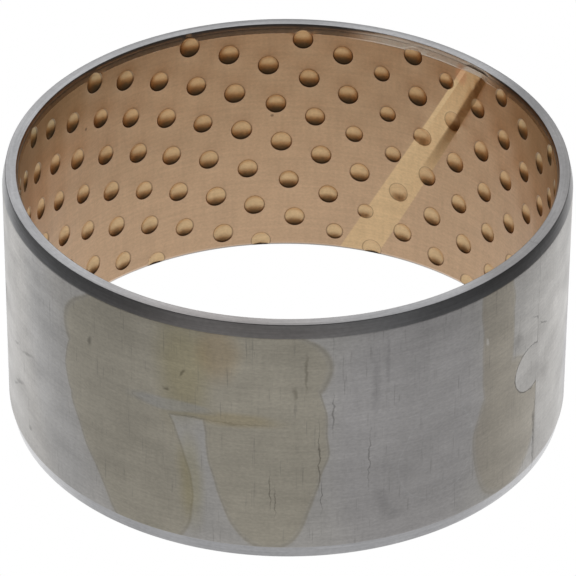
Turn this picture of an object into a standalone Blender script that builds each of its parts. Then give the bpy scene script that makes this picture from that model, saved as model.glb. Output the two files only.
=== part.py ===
"""Wrapped bimetal sleeve bushing: a rolled steel backing with a thin bronze lining bonded inside it.

The bushing is laid out as the flat strip it is rolled from and then wrapped around the Z axis.
On the flat strip a point has three coordinates in millimetres:
    x  the distance along the strip at the bore, starting at the butt seam and growing anticlockwise,
    y  the height above the lower end face,
    z  the height above the bore surface, measured outwards through the wall.
The origin of the finished part is the centre of its lower end face.
"""

import math

import bmesh
import bpy
from mathutils import Vector
from mathutils.geometry import delaunay_2d_cdt

MILLIMETRE = 0.001

# Main sizes, in millimetres.
OUTER_DIAMETER = 104.775
BORE_DIAMETER = 98.425
LENGTH = 50.8
LINING_THICKNESS = 0.35
BOND_GAP = 0.05

# Chamfers: how far each one reaches through the wall and along the axis.
INNER_CHAMFER_DEPTH = 0.6
TOP_INNER_CHAMFER_LENGTH = 1.7
BOTTOM_INNER_CHAMFER_LENGTH = 1.0
OUTER_CHAMFER_DEPTH = 0.61
OUTER_CHAMFER_LENGTH = 2.66

# Butt seam, with the round tongue that clinches the two ends of the strip together.
SEAM_ANGLE = math.radians(330.2)
SEAM_WIDTH = 0.1
TONGUE_RADIUS = 4.7
TONGUE_CENTRE = 2.2
TONGUE_SIDES = 12

# Ball indents that hold grease, in rows that step back along the strip.
INDENTS_PER_TURN = 14
INDENT_ROWS = 17
INDENT_RADIUS = 2.05
INDENT_DEPTH = 0.75
INDENT_SIDES = 8
INDENT_OVERSHOOT = 1
FIRST_ROW_HEIGHT = 47.9
ROW_PITCH = 2.92
FIRST_INDENT_X = 11.8
ROW_STEP = 7.79

# Coined oil groove that leans across the strip and gets shallower towards the lower end.
GROOVE_FOOT_X = 88.8
GROOVE_SLOPE = -0.514
GROOVE_HALF_WIDTH_BOTTOM = 3.6
GROOVE_HALF_WIDTH_TOP = 2.9
GROOVE_DEPTH_BOTTOM = 0.12
GROOVE_DEPTH_TOP = 0.6
GROOVE_WALL_RUN = 1.2
GROOVE_STEPS = 13
GROOVE_OVERSHOOT = 2.0

# Facets around one turn, and the distance within which plan points are merged.
FACETS_PER_TURN = 84
MERGE_DISTANCE = 0.03

# What a triangulation keeps: all the triangles of its hull, or those inside its edges.
WHOLE_HULL = 0
INSIDE_THE_EDGES = 1

BORE_RADIUS = BORE_DIAMETER / 2
WALL = (OUTER_DIAMETER - BORE_DIAMETER) / 2
STRIP_LENGTH = math.tau * BORE_RADIUS
INDENT_PITCH = STRIP_LENGTH / INDENTS_PER_TURN
BALL_RADIUS = (INDENT_RADIUS**2 + INDENT_DEPTH**2) / (2 * INDENT_DEPTH)
BORE_TOP = LENGTH - TOP_INNER_CHAMFER_LENGTH
BORE_BOTTOM = BOTTOM_INNER_CHAMFER_LENGTH

# The backing's section from its inner chamfer to its outer wall: height above the bore,
# then where its lower and upper edges are.
BACKING_PROFILE = (
    (INNER_CHAMFER_DEPTH, 0.0, LENGTH),
    (WALL - OUTER_CHAMFER_DEPTH, 0.0, LENGTH),
    (WALL, OUTER_CHAMFER_LENGTH, LENGTH - OUTER_CHAMFER_LENGTH),
)


def clear_scene():
    """Remove every object, so that the script gives the same model each time."""
    for old_object in list(bpy.data.objects):
        bpy.data.objects.remove(old_object, do_unlink=True)


def make_material(name, colour, roughness):
    """Make a Principled metal of one colour."""
    material = bpy.data.materials.new(name)
    material.use_nodes = True
    material.diffuse_color = colour
    shader = material.node_tree.nodes["Principled BSDF"]
    shader.inputs["Base Color"].default_value = colour
    shader.inputs["Roughness"].default_value = roughness
    shader.inputs["Metallic"].default_value = 1.0
    return material


def seam_points(position, clearance):
    """Points of one strip end from bottom to top, along the seam and around the tongue.

    The clearance is half of the seam's width: negative on the end with the tongue, which it
    draws back, and positive on the end with the pocket, which it opens.
    """
    middle = LENGTH / 2
    radius = TONGUE_RADIUS + clearance
    centre = position - TONGUE_CENTRE
    edge = position - clearance
    neck = math.acos((edge - centre) / radius)
    sweep = math.tau - 2 * neck
    points = [Vector((edge, BORE_BOTTOM))]
    for side in range(TONGUE_SIDES + 1):
        angle = -neck - sweep * side / TONGUE_SIDES
        points.append(Vector((centre + radius * math.cos(angle), middle + radius * math.sin(angle))))
    points.append(Vector((edge, BORE_TOP)))
    return points


def strip_outline():
    """Outline of the strip at the bore, running anticlockwise in plan."""
    columns = [STRIP_LENGTH * step / FACETS_PER_TURN for step in range(1, FACETS_PER_TURN)]
    lower_edge = [Vector((x, BORE_BOTTOM)) for x in columns]
    upper_edge = [Vector((x, BORE_TOP)) for x in reversed(columns)]
    pocket_end = seam_points(STRIP_LENGTH, SEAM_WIDTH / 2)
    tongue_end = seam_points(0.0, -SEAM_WIDTH / 2)
    return lower_edge + pocket_end + upper_edge + list(reversed(tongue_end))


def indent_centres():
    """Centres of the ball indents on the strip, with one more beyond each end of a row."""
    centres = []
    for row in range(INDENT_ROWS):
        start = (FIRST_INDENT_X - ROW_STEP * row) % INDENT_PITCH
        height = FIRST_ROW_HEIGHT - ROW_PITCH * row
        for column in range(-INDENT_OVERSHOOT, INDENTS_PER_TURN + INDENT_OVERSHOOT):
            centres.append(Vector((start + INDENT_PITCH * column, height)))
    return centres


def indent_depth(x, y):
    """Depth of the ball indents below the bore at one place on the strip."""
    deepest = 0.0
    for row in range(INDENT_ROWS):
        rise = y - (FIRST_ROW_HEIGHT - ROW_PITCH * row)
        along = (x - FIRST_INDENT_X + ROW_STEP * row + INDENT_PITCH / 2) % INDENT_PITCH - INDENT_PITCH / 2
        distance = math.hypot(along, rise)
        if distance < INDENT_RADIUS:
            cap = math.sqrt(BALL_RADIUS**2 - distance**2) - (BALL_RADIUS - INDENT_DEPTH)
            deepest = max(deepest, cap)
    return deepest


def groove_half_width(y):
    """Half width of the oil groove at one height, square to the groove."""
    return GROOVE_HALF_WIDTH_BOTTOM + (GROOVE_HALF_WIDTH_TOP - GROOVE_HALF_WIDTH_BOTTOM) * y / LENGTH


def groove_depth(x, y):
    """Depth of the oil groove at one place, running out through the end chamfers."""
    lean = math.hypot(1.0, GROOVE_SLOPE)
    offset = abs(x - GROOVE_FOOT_X - GROOVE_SLOPE * y) / lean
    wall = min(1.0, max(0.0, (groove_half_width(y) - offset) / GROOVE_WALL_RUN))
    run_out = min(1.0, (LENGTH - y) / TOP_INNER_CHAMFER_LENGTH, y / BOTTOM_INNER_CHAMFER_LENGTH)
    full = GROOVE_DEPTH_BOTTOM + (GROOVE_DEPTH_TOP - GROOVE_DEPTH_BOTTOM) * y / LENGTH
    return full * wall * max(0.0, run_out)


def pressed_depth(x, y):
    """How far the strip is pressed outwards by the balls and by the groove die."""
    return max(indent_depth(x, y), groove_depth(x, y))


def add_chain(points, edges, chain, closed):
    """Add a chain of plan points and the edges between them."""
    first = len(points)
    points.extend(chain)
    edges.extend((first + step, first + step + 1) for step in range(len(chain) - 1))
    if closed:
        edges.append((first + len(chain) - 1, first))


def indent_rim(centre):
    """Corners of one indent's rim, with a corner pointing along the strip."""
    turns = [math.tau * side / INDENT_SIDES for side in range(INDENT_SIDES)]
    return [centre + INDENT_RADIUS * Vector((math.cos(turn), math.sin(turn))) for turn in turns]


def groove_line(side, inset):
    """One edge of the groove on the strip, from below the lower end to above the upper end."""
    lean = math.hypot(1.0, GROOVE_SLOPE)
    line = []
    for step in range(GROOVE_STEPS + 1):
        height = -GROOVE_OVERSHOOT + (LENGTH + 2 * GROOVE_OVERSHOOT) * step / GROOVE_STEPS
        reach = side * lean * (groove_half_width(height) - inset)
        line.append(Vector((GROOVE_FOOT_X + GROOVE_SLOPE * height + reach, height)))
    return line


def make_plan():
    """Make the strip as one flat sheet of triangles with every rim and groove edge in it."""
    points = []
    edges = []
    outline = strip_outline()
    add_chain(points, edges, outline, closed=True)
    for side in (-1, 1):
        add_chain(points, edges, groove_line(side, 0.0), closed=False)
        add_chain(points, edges, groove_line(side, GROOVE_WALL_RUN), closed=False)
    for centre in indent_centres():
        add_chain(points, edges, indent_rim(centre), closed=True)
        points.append(centre)
    face = list(range(len(outline)))
    made = delaunay_2d_cdt(points, edges, [face], WHOLE_HULL, MERGE_DISTANCE)
    plan = bmesh.new()
    corners = [plan.verts.new((point.x, point.y, 0.0)) for point in made[0]]
    for corner_ids, source_faces in zip(made[2], made[5]):
        if source_faces:
            plan.faces.new([corners[corner] for corner in corner_ids])
    loose = [corner for corner in plan.verts if not corner.link_faces]
    bmesh.ops.delete(plan, geom=loose, context="VERTS")
    return plan


def move_long_edges(corners, bottom, top):
    """Move the points of the strip's lower and upper edges to new heights."""
    old_bottom = min(corner.co.y for corner in corners)
    old_top = max(corner.co.y for corner in corners)
    for corner in corners:
        if corner.co.y > old_top - MERGE_DISTANCE:
            corner.co.y = top
        elif corner.co.y < old_bottom + MERGE_DISTANCE:
            corner.co.y = bottom


def shape_layer(corners, height):
    """Place one layer of the strip: cut it back to the chamfers, then press it outwards."""
    share = height / INNER_CHAMFER_DEPTH
    bottom = BORE_BOTTOM - BOTTOM_INNER_CHAMFER_LENGTH * share
    top = BORE_TOP + TOP_INNER_CHAMFER_LENGTH * share
    move_long_edges(corners, bottom, top)
    for corner in corners:
        corner.co.z = height + pressed_depth(corner.co.x, corner.co.y)


def extrude_rim(mesh, rim_edges):
    """Grow a wall from the open rim and return the new rim's points and edges."""
    grown = bmesh.ops.extrude_edge_only(mesh, edges=rim_edges)["geom"]
    corners = [item for item in grown if isinstance(item, bmesh.types.BMVert)]
    rim = [item for item in grown if isinstance(item, bmesh.types.BMEdge) and item.is_boundary]
    return corners, rim


def ruled_edges(points):
    """Upright edges from the lower to the upper edge of the strip, clear of the tongue's pocket."""
    middle = LENGTH / 2
    reach = STRIP_LENGTH - TONGUE_CENTRE - TONGUE_RADIUS - SEAM_WIDTH
    lower = {}
    for number, point in enumerate(points):
        if point.y < middle and SEAM_WIDTH < point.x < reach:
            lower[round(point.x, 2)] = number
    upper = [number for number, point in enumerate(points) if point.y > middle]
    pairs = ((lower.get(round(points[number].x, 2)), number) for number in upper)
    return [pair for pair in pairs if pair[0] is not None]


def fill_rim(mesh, rim_edges):
    """Close a flat open rim with triangles between its own points, ruled along the bushing."""
    corners = list({corner for edge in rim_edges for corner in edge.verts})
    places = {corner: number for number, corner in enumerate(corners)}
    points = [corner.co.xy for corner in corners]
    edges = [(places[edge.verts[0]], places[edge.verts[1]]) for edge in rim_edges]
    edges.extend(ruled_edges(points))
    made = delaunay_2d_cdt(points, edges, [], INSIDE_THE_EDGES, 0.0)
    sources = [corners[originals[0]] for originals in made[3]]
    for corner_ids in made[2]:
        mesh.faces.new([sources[corner] for corner in corner_ids])


def wrap(mesh):
    """Roll the flat strip around the Z axis and turn millimetres into metres."""
    for corner in mesh.verts:
        angle = SEAM_ANGLE + corner.co.x / BORE_RADIUS
        radius = BORE_RADIUS + corner.co.z
        height = corner.co.y
        corner.co = Vector((radius * math.cos(angle), radius * math.sin(angle), height)) * MILLIMETRE


def finish(mesh, name, material):
    """Wrap a strip, close its normals and link it to the scene as a smooth-shaded object."""
    wrap(mesh)
    bmesh.ops.triangulate(mesh, faces=mesh.faces[:])
    bmesh.ops.recalc_face_normals(mesh, faces=mesh.faces[:])
    data = bpy.data.meshes.new(name)
    mesh.to_mesh(data)
    mesh.free()
    data.materials.append(material)
    data.shade_smooth()
    data.set_sharp_from_angle(angle=math.radians(25))
    made = bpy.data.objects.new(name, data)
    bpy.context.scene.collection.objects.link(made)
    return made


def make_lining(plan):
    """Bronze lining: the bore surface and the bonded surface, with the same indents in both."""
    mesh = plan.copy()
    grown = bmesh.ops.extrude_face_region(mesh, geom=mesh.faces[:], use_keep_orig=True)["geom"]
    outer_corners = [item for item in grown if isinstance(item, bmesh.types.BMVert)]
    outer_set = set(outer_corners)
    inner_corners = [corner for corner in mesh.verts if corner not in outer_set]
    shape_layer(inner_corners, 0.0)
    shape_layer(outer_corners, LINING_THICKNESS)
    return finish(mesh, "bronze_lining", make_material("bronze", (0.40, 0.27, 0.16, 1.0), 0.45))


def make_backing(plan):
    """Steel backing: its pressed inner surface, two end faces, chamfers, seam and outer wall."""
    mesh = plan.copy()
    shape_layer(mesh.verts[:], LINING_THICKNESS + BOND_GAP)
    rim = [edge for edge in mesh.edges if edge.is_boundary]
    for height, bottom, top in BACKING_PROFILE:
        corners, rim = extrude_rim(mesh, rim)
        move_long_edges(corners, bottom, top)
        for corner in corners:
            corner.co.z = height
    fill_rim(mesh, rim)
    return finish(mesh, "steel_backing", make_material("steel", (0.52, 0.51, 0.50, 1.0), 0.35))


def main():
    """Build both pieces of the bushing from one shared plan."""
    clear_scene()
    plan = make_plan()
    make_backing(plan)
    make_lining(plan)
    plan.free()


main()
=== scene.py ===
"""Visual model of a wrapped bimetal sleeve bushing on a pale studio floor.

The bushing is made the way the real one is: a flat strip is pressed with ball indents and an oil
groove, its ends are punched to a tongue and a pocket, and it is then rolled around the Z axis.
On the flat strip x runs along the strip at the bore from the butt seam, y is the height above the
lower end face and z is the height above the bore surface, outwards through the wall. Lengths are
in millimetres until the strip is rolled.
"""

import logging
import math
import random
from dataclasses import dataclass
from enum import Enum

import bmesh
import bpy
from bmesh.types import BMEdge, BMesh, BMFace, BMVert
from bpy.types import Material, Node, NodeTree, Object
from bpy.types import NodeSocket as Socket
from mathutils import Matrix, Vector


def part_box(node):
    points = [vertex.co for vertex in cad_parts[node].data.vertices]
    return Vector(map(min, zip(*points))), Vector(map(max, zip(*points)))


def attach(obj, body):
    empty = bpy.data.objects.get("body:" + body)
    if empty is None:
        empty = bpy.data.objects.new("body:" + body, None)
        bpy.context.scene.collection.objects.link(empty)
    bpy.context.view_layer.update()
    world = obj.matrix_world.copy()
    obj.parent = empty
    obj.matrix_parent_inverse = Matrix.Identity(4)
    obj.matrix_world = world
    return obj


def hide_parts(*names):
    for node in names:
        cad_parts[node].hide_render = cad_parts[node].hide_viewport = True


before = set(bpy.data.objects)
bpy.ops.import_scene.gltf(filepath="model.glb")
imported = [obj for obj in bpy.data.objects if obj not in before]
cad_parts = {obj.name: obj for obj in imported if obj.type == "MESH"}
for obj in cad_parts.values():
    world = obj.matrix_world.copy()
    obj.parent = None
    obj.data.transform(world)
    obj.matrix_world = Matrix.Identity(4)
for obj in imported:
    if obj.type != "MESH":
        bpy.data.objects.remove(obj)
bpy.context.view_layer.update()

MILLIMETRE = 0.001
HAIR = 1e-4

Colour = tuple[float, float, float, float]
Span = tuple[float, float]

log = logging.getLogger("bushing")


# --- Cutting and growing ------------------------------------------------------------------------


def grow_rim(mesh: BMesh, rim: list[BMEdge]) -> tuple[list[BMVert], list[BMEdge]]:
    """Extrude an open rim, with the new one still in the same place.

    Args:
        mesh: The mesh.
        rim: The edges of its rim.

    Returns:
        The points and the edges of the new rim.
    """
    grown = bmesh.ops.extrude_edge_only(mesh, edges=rim)["geom"]
    corners = [item for item in grown if isinstance(item, BMVert)]
    members = set(corners)
    return corners, [item for item in grown if isinstance(item, BMEdge) and members.issuperset(item.verts)]


def cut_faces(mesh: BMesh, faces: list[BMFace], point: Vector, normal: Vector) -> list[BMFace]:
    """Cut some faces along a straight line.

    Args:
        mesh: The flat strip.
        faces: The faces to cut.
        point: A point on the line.
        normal: The direction square to the line, on the strip.

    Returns:
        The faces on both sides of the cut.
    """
    edges = dict.fromkeys(edge for face in faces for edge in face.edges)
    corners = dict.fromkeys(corner for face in faces for corner in face.verts)
    cut = bmesh.ops.bisect_plane(
        mesh, geom=[*faces, *edges, *corners], dist=HAIR, plane_co=point, plane_no=normal
    )
    return [item for item in cut["geom"] if isinstance(item, BMFace)]


# --- The strip's design -------------------------------------------------------------------------


@dataclass(frozen=True)
class BushingSizes:
    """Main sizes of the rolled bushing, in millimetres and radians."""

    outer_radius: float
    length: float
    bore_radius: float = 49.2125
    lining: float = 0.35
    bond_gap: float = 0.01
    inner_chamfer_depth: float = 0.6
    top_chamfer_length: float = 1.7
    bottom_chamfer_length: float = 1.0
    outer_chamfer_depth: float = 0.61
    outer_chamfer_length: float = 2.66
    lining_end_trim: float = 0.05
    seam_angle: float = math.radians(330.2)

    @classmethod
    def from_cad(cls, node: str) -> "BushingSizes":
        """Take the outside sizes from a CAD node.

        Args:
            node: The name of the CAD node that spans the whole bushing.

        Returns:
            The sizes, with the defaults for everything inside.
        """
        low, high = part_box(node)
        return cls(outer_radius=(high.x - low.x) / 2 / MILLIMETRE, length=(high.z - low.z) / MILLIMETRE)

    @property
    def wall(self) -> float:
        """Thickness of the whole wall."""
        return self.outer_radius - self.bore_radius

    @property
    def turn(self) -> float:
        """Length of the strip at the bore, for one turn."""
        return math.tau * self.bore_radius

    @property
    def bore_bottom(self) -> float:
        """Height where the bore meets its lower chamfer."""
        return self.bottom_chamfer_length

    @property
    def bore_top(self) -> float:
        """Height where the bore meets its upper chamfer."""
        return self.length - self.top_chamfer_length

    def chamfer(self, y: float) -> float:
        """Height of the inner chamfer above the bore surface at a height on the strip.

        Args:
            y: The height on the strip.

        Returns:
            The chamfer's height above the bore, negative where the bore is straight.
        """
        low = (self.bore_bottom - y) / self.bottom_chamfer_length
        high = (y - self.bore_top) / self.top_chamfer_length
        return self.inner_chamfer_depth * max(low, high)

    def chamfer_foot(self, z: float) -> tuple[float, float]:
        """Lower and upper heights at which the inner chamfers reach a height above the bore.

        Args:
            z: The height above the bore.

        Returns:
            The lower and the upper height on the strip.
        """
        share = z / self.inner_chamfer_depth
        low = self.bore_bottom - share * self.bottom_chamfer_length
        return low, self.bore_top + share * self.top_chamfer_length

    def roll(self, mesh: BMesh) -> None:
        """Roll the flat strip around the Z axis and turn its millimetres into metres.

        Args:
            mesh: The flat strip.
        """
        for corner in mesh.verts:
            angle = self.seam_angle + corner.co.x / self.bore_radius
            radius = self.bore_radius + corner.co.z
            place = Vector((radius * math.cos(angle), radius * math.sin(angle), corner.co.y))
            corner.co = place * MILLIMETRE


@dataclass(frozen=True)
class BallIndents:
    """Rows of round grease pockets that step back along the strip."""

    sizes: BushingSizes
    per_turn: int = 14
    rows: int = 17
    radius: float = 2.07
    depth: float = 0.8
    upright: float = 1.03
    first_height: float = 47.9
    row_pitch: float = 2.92
    first_x: float = 11.8
    row_step: float = 7.79
    ring_shares: tuple[float, ...] = (1.14, 1.01, 0.955, 0.82, 0.6, 0.32)
    lip: Span = (0.99, 1.1)
    lip_height: float = 0.035
    cuts_per_side: int = 3
    size_range: Span = (0.95, 1.03)
    depth_range: Span = (0.88, 1.05)
    worn_size: float = 0.85
    worn_depth: float = 0.75
    shift: tuple[float, float] = (0.18, 0.16)
    merge_distance: float = 0.02
    worn: tuple[tuple[int, int], ...] = ((0, 2), (1, 3), (2, 4), (5, 5), (7, 6), (8, 6), (13, 8), (15, 9))

    @property
    def pitch(self) -> float:
        """Distance between neighbours of one row."""
        return self.sizes.turn / self.per_turn

    def centre(self, row: int, column: int) -> Vector:
        """Centre of one indent on the strip."""
        x = self.first_x - self.row_step * row + self.pitch * column
        return Vector((x, self.first_height - self.row_pitch * row, 0.0))

    def cell_corners(self) -> list[Vector]:
        """Corners of the six-sided cell that one indent has to itself.

        Returns:
            The points that are as far from the indent as from two of its neighbours, in order.
        """
        first = Vector((-self.row_step, -self.row_pitch))
        second = 3 * first + Vector((self.pitch, 0.0))
        neighbours = [first, second, second - first, -first, -second, first - second]
        corners = []
        for here, after in zip(neighbours, neighbours[1:] + neighbours[:1]):
            scale = 2 * here.cross(after)
            x = (after.y * here.length_squared - here.y * after.length_squared) / scale
            y = (here.x * after.length_squared - after.x * here.length_squared) / scale
            corners.append(Vector((x, y, 0.0)))
        return corners

    def profile(self, share: float) -> float:
        """Depth of the pocket at a share of its radius, negative on the raised lip around it.

        Args:
            share: The distance from the pocket's middle, as a share of its radius.

        Returns:
            The depth in millimetres.
        """
        if share > self.lip[1]:
            return 0.0
        if share > self.lip[0]:
            return -self.lip_height
        ball = (1 + (self.depth / self.radius) ** 2) / (2 * self.depth / self.radius)
        cap = math.sqrt(ball**2 - share**2) - math.sqrt(ball**2 - 1)
        return cap * self.radius

    def make_cell(self, mesh: BMesh) -> list[BMVert]:
        """Make one cell around the origin: its outline, then rings down to the pocket's floor.

        Args:
            mesh: The mesh that takes the cell.

        Returns:
            The cell's points.
        """
        outline = bmesh.ops.create_circle(mesh, segments=6, radius=self.pitch)["verts"]
        for corner, place in zip(outline, self.cell_corners()):
            corner.co = place
        bmesh.ops.subdivide_edges(mesh, edges=mesh.edges[:], cuts=self.cuts_per_side)
        rim = mesh.edges[:]
        for share in self.ring_shares:
            ring, rim = grow_rim(mesh, rim)
            for corner in ring:
                flat = corner.co.xy.normalized() * self.radius * share
                corner.co = Vector((flat.x, flat.y, self.profile(share)))
        floor = bmesh.ops.contextual_create(mesh, geom=rim)["faces"]
        middle = bmesh.ops.poke(mesh, faces=floor)["verts"]
        middle[0].co.z = self.profile(0.0)
        return mesh.verts[:]

    def variation(self, row: int, column: int) -> tuple[float, float, Vector]:
        """Small differences of one indent from the next.

        Args:
            row: The indent's row.
            column: Its place in the row.

        Returns:
            Its size and depth as shares of the usual ones, and its shift on the strip.
        """
        if not 0 <= row < self.rows:
            return 1.0, 0.0, Vector((0.0, 0.0, 0.0))
        place = column % self.per_turn
        chance = random.Random(row * self.per_turn + place)
        size = chance.uniform(*self.size_range)
        depth = chance.uniform(*self.depth_range)
        if (row, place) in self.worn:
            size *= self.worn_size
            depth *= self.worn_depth
        along, up = (chance.uniform(-most, most) for most in self.shift)
        return size, depth, Vector((along, up, 0.0))

    def tile(self, mesh: BMesh) -> None:
        """Lay a cell around every indent, with plain cells beyond the strip's edges.

        Args:
            mesh: The empty mesh that takes the cells.
        """
        template = self.make_cell(mesh)
        geometry = mesh.verts[:] + mesh.edges[:] + mesh.faces[:]
        reach = self.radius * max(self.ring_shares) + HAIR
        for row in range(-2, self.rows + 2):
            start = self.centre(row, 0).x
            first = math.ceil((-self.pitch - start) / self.pitch)
            last = math.floor((self.sizes.turn + self.pitch - start) / self.pitch)
            for column in range(first, last + 1):
                size, depth, shift = self.variation(row, column)
                centre = self.centre(row, column)
                made = bmesh.ops.duplicate(mesh, geom=geometry)["geom"]
                for corner in made:
                    if not isinstance(corner, BMVert):
                        continue
                    if corner.co.xy.length < reach:
                        stretch = Vector((size, size * self.upright, depth))
                        corner.co = corner.co * stretch + shift
                    corner.co += centre
        bmesh.ops.delete(mesh, geom=template, context="VERTS")
        bmesh.ops.remove_doubles(mesh, verts=mesh.verts[:], dist=self.merge_distance)


@dataclass(frozen=True)
class OilGroove:
    """Groove coined across the strip: steep on one side, shallow on the other, fading downwards."""

    sizes: BushingSizes
    foot_x: float = 88.8
    slope: float = -0.514
    half_width_bottom: float = 3.6
    half_width_top: float = 2.9
    depth_bottom: float = 0.12
    depth_top: float = 0.6
    shallow_share: float = 0.55
    shallow_run: float = 0.9
    steep_run_bottom: float = 2.9
    steep_run_top: float = 1.6

    @property
    def lean(self) -> float:
        """Length along the groove for each millimetre of height."""
        return math.hypot(1.0, self.slope)

    def half_width(self, y: float) -> float:
        """Half width square to the groove at one height."""
        share = y / self.sizes.length
        return self.half_width_bottom + (self.half_width_top - self.half_width_bottom) * share

    def steep_run(self, y: float) -> float:
        """Width of the steep side's wall at one height."""
        share = y / self.sizes.length
        return self.steep_run_bottom + (self.steep_run_top - self.steep_run_bottom) * share

    def edge_point(self, reach: float, y: float) -> Vector:
        """Point on the line that runs a share of the half width beside the groove's middle."""
        x = self.foot_x + self.slope * y + reach * self.lean
        return Vector((x, y, 0.0))

    def edge_lines(self) -> list[tuple[Vector, Vector]]:
        """Both ends of the four lines along the groove: its rims and the edges of its floor.

        Returns:
            The lower and the upper end of each line.
        """
        foot, head = 0.0, self.sizes.length
        reaches = (
            (-self.half_width(foot), -self.half_width(head)),
            (self.steep_run(foot) - self.half_width(foot), self.steep_run(head) - self.half_width(head)),
            (self.half_width(foot) - self.shallow_run, self.half_width(head) - self.shallow_run),
            (self.half_width(foot), self.half_width(head)),
        )
        return [(self.edge_point(low, foot), self.edge_point(high, head)) for low, high in reaches]

    def across(self, x: float, y: float) -> float:
        """Place across the groove, from -1 at the steep rim to 1 at the shallow one."""
        return (x - self.foot_x - self.slope * y) / self.lean / self.half_width(y)

    def depth(self, x: float, y: float) -> float:
        """Depth of the groove at one place, running out at the end chamfer.

        Args:
            x: The place along the strip.
            y: The height on the strip.

        Returns:
            The depth, or nothing beside the groove.
        """
        across = self.across(x, y)
        inside = (1 - abs(across)) * self.half_width(y)
        if inside <= 0.0:
            return 0.0
        run = self.steep_run(y) if across < 0 else self.shallow_run
        share = min(1.0, inside / run)
        full = self.depth_bottom + (self.depth_top - self.depth_bottom) * y / self.sizes.length
        tilt = self.shallow_share + (1 - self.shallow_share) * (1 - across) / 2
        run_out = (self.sizes.length - y) / self.sizes.top_chamfer_length
        return full * tilt * share * min(1.0, max(0.0, run_out))


class StripEnd(Enum):
    """The two punched ends of the strip."""

    TONGUE = -1
    POCKET = 1


@dataclass(frozen=True)
class ClinchSeam:
    """Butt seam whose round tongue locks in the pocket of the other end."""

    sizes: BushingSizes
    width: float = 0.05
    tongue_radius: float = 4.7
    tongue_setback: float = 2.2
    sides: int = 36

    def disc_faces(self, mesh: BMesh, end: StripEnd) -> list[BMFace]:
        """Cut the round of one end into the strip.

        Args:
            mesh: The flat strip.
            end: Which end is punched.

        Returns:
            The faces inside the round.
        """
        position = 0.0 if end is StripEnd.TONGUE else self.sizes.turn
        centre = Vector((position - self.tongue_setback, self.sizes.length / 2, 0.0))
        radius = self.tongue_radius + end.value * self.width / 2
        near = self.tongue_radius * 2.5
        inside = [face for face in mesh.faces if (face.calc_center_median() - centre).xy.length < near]
        for side in range(self.sides):
            turn = math.tau * side / self.sides
            outward = Vector((math.cos(turn), math.sin(turn), 0.0))
            place = centre + outward * radius
            cut = cut_faces(mesh, inside, place, outward)
            inside = [face for face in cut if (face.calc_center_median() - place).dot(outward) < 0]
        return inside

    def punch(self, mesh: BMesh) -> None:
        """Trim the strip to its tongue at one end and its pocket at the other.

        Args:
            mesh: The flat strip.
        """
        start = self.width / 2
        cut_strip(mesh, Vector((start, 0.0, 0.0)), Vector((1.0, 0.0, 0.0)))
        tongue = set(self.disc_faces(mesh, StripEnd.TONGUE))
        waste = [face for face in mesh.faces if face.calc_center_median().x < start and face not in tongue]
        bmesh.ops.delete(mesh, geom=waste, context="FACES")
        pocket = self.disc_faces(mesh, StripEnd.POCKET)
        bmesh.ops.delete(mesh, geom=pocket, context="FACES")
        end = Vector((self.sizes.turn - self.width / 2, 0.0, 0.0))
        cut_strip(mesh, end, Vector((1.0, 0.0, 0.0)), discard=True)


def cut_strip(mesh: BMesh, point: Vector, normal: Vector, discard: bool = False) -> None:
    """Cut the whole strip along a straight line.

    Args:
        mesh: The flat strip.
        point: A point on the line.
        normal: The direction square to the line, on the strip.
        discard: Whether the side that the normal points to is thrown away.
    """
    bmesh.ops.bisect_plane(
        mesh,
        geom=mesh.verts[:] + mesh.edges[:] + mesh.faces[:],
        dist=HAIR,
        plane_co=point,
        plane_no=normal,
        clear_outer=discard,
    )


@dataclass(frozen=True)
class PressedStrip:
    """The flat strip after pressing and punching, which both metals share."""

    sizes: BushingSizes
    indents: BallIndents
    groove: OilGroove
    seam: ClinchSeam
    groove_indent_share: float = 0.4

    def sheet(self) -> BMesh:
        """Make the pressed surface as one open sheet.

        Returns:
            The sheet, whose z is the pressed depth. Its layers are "strip" for the flat place in
            millimetres, "groove" for the place across the groove and "pocket" for the share of
            the indents' depth.
        """
        mesh = bmesh.new()
        self.indents.tile(mesh)
        self.trim(mesh)
        self.seam.punch(mesh)
        place = mesh.verts.layers.float_vector.new("strip")
        across = mesh.verts.layers.float.new("groove")
        pocket = mesh.verts.layers.float.new("pocket")
        for corner in mesh.verts:
            x, y, pressed = corner.co
            groove = self.groove.depth(x, y)
            corner[place] = corner.co
            corner[across] = self.groove.across(x, y)
            corner[pocket] = min(1.0, max(0.0, pressed / self.indents.depth))
            corner.co.z = max(pressed, groove + self.groove_indent_share * max(0.0, pressed))
            if groove <= 0.0:
                corner.co.z = pressed
        return mesh

    def trim(self, mesh: BMesh) -> None:
        """Cut the sheet to its height and along the chamfer feet and the groove's edges.

        Args:
            mesh: The flat strip.
        """
        up = Vector((0.0, 1.0, 0.0))
        low, high = self.sizes.chamfer_foot(self.sizes.lining - self.sizes.lining_end_trim / 2)
        cut_strip(mesh, Vector((0.0, high, 0.0)), up, discard=True)
        cut_strip(mesh, Vector((0.0, low, 0.0)), -up, discard=True)
        cut_strip(mesh, Vector((0.0, self.sizes.bore_top, 0.0)), up)
        cut_strip(mesh, Vector((0.0, self.sizes.bore_bottom, 0.0)), up)
        for foot, head in self.groove.edge_lines():
            along = head - foot
            cut_strip(mesh, foot, Vector((along.y, -along.x, 0.0)))


# --- Finishes -----------------------------------------------------------------------------------


def linear(code: str) -> Colour:
    """Turn an sRGB hex colour into linear values.

    Args:
        code: Six hex digits.

    Returns:
        Red, green, blue and an alpha of one.
    """
    parts = [int(code[place : place + 2], 16) / 255 for place in (0, 2, 4)]
    light = [part / 12.92 if part <= 0.04045 else ((part + 0.055) / 1.055) ** 2.4 for part in parts]
    return light[0], light[1], light[2], 1.0


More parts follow.
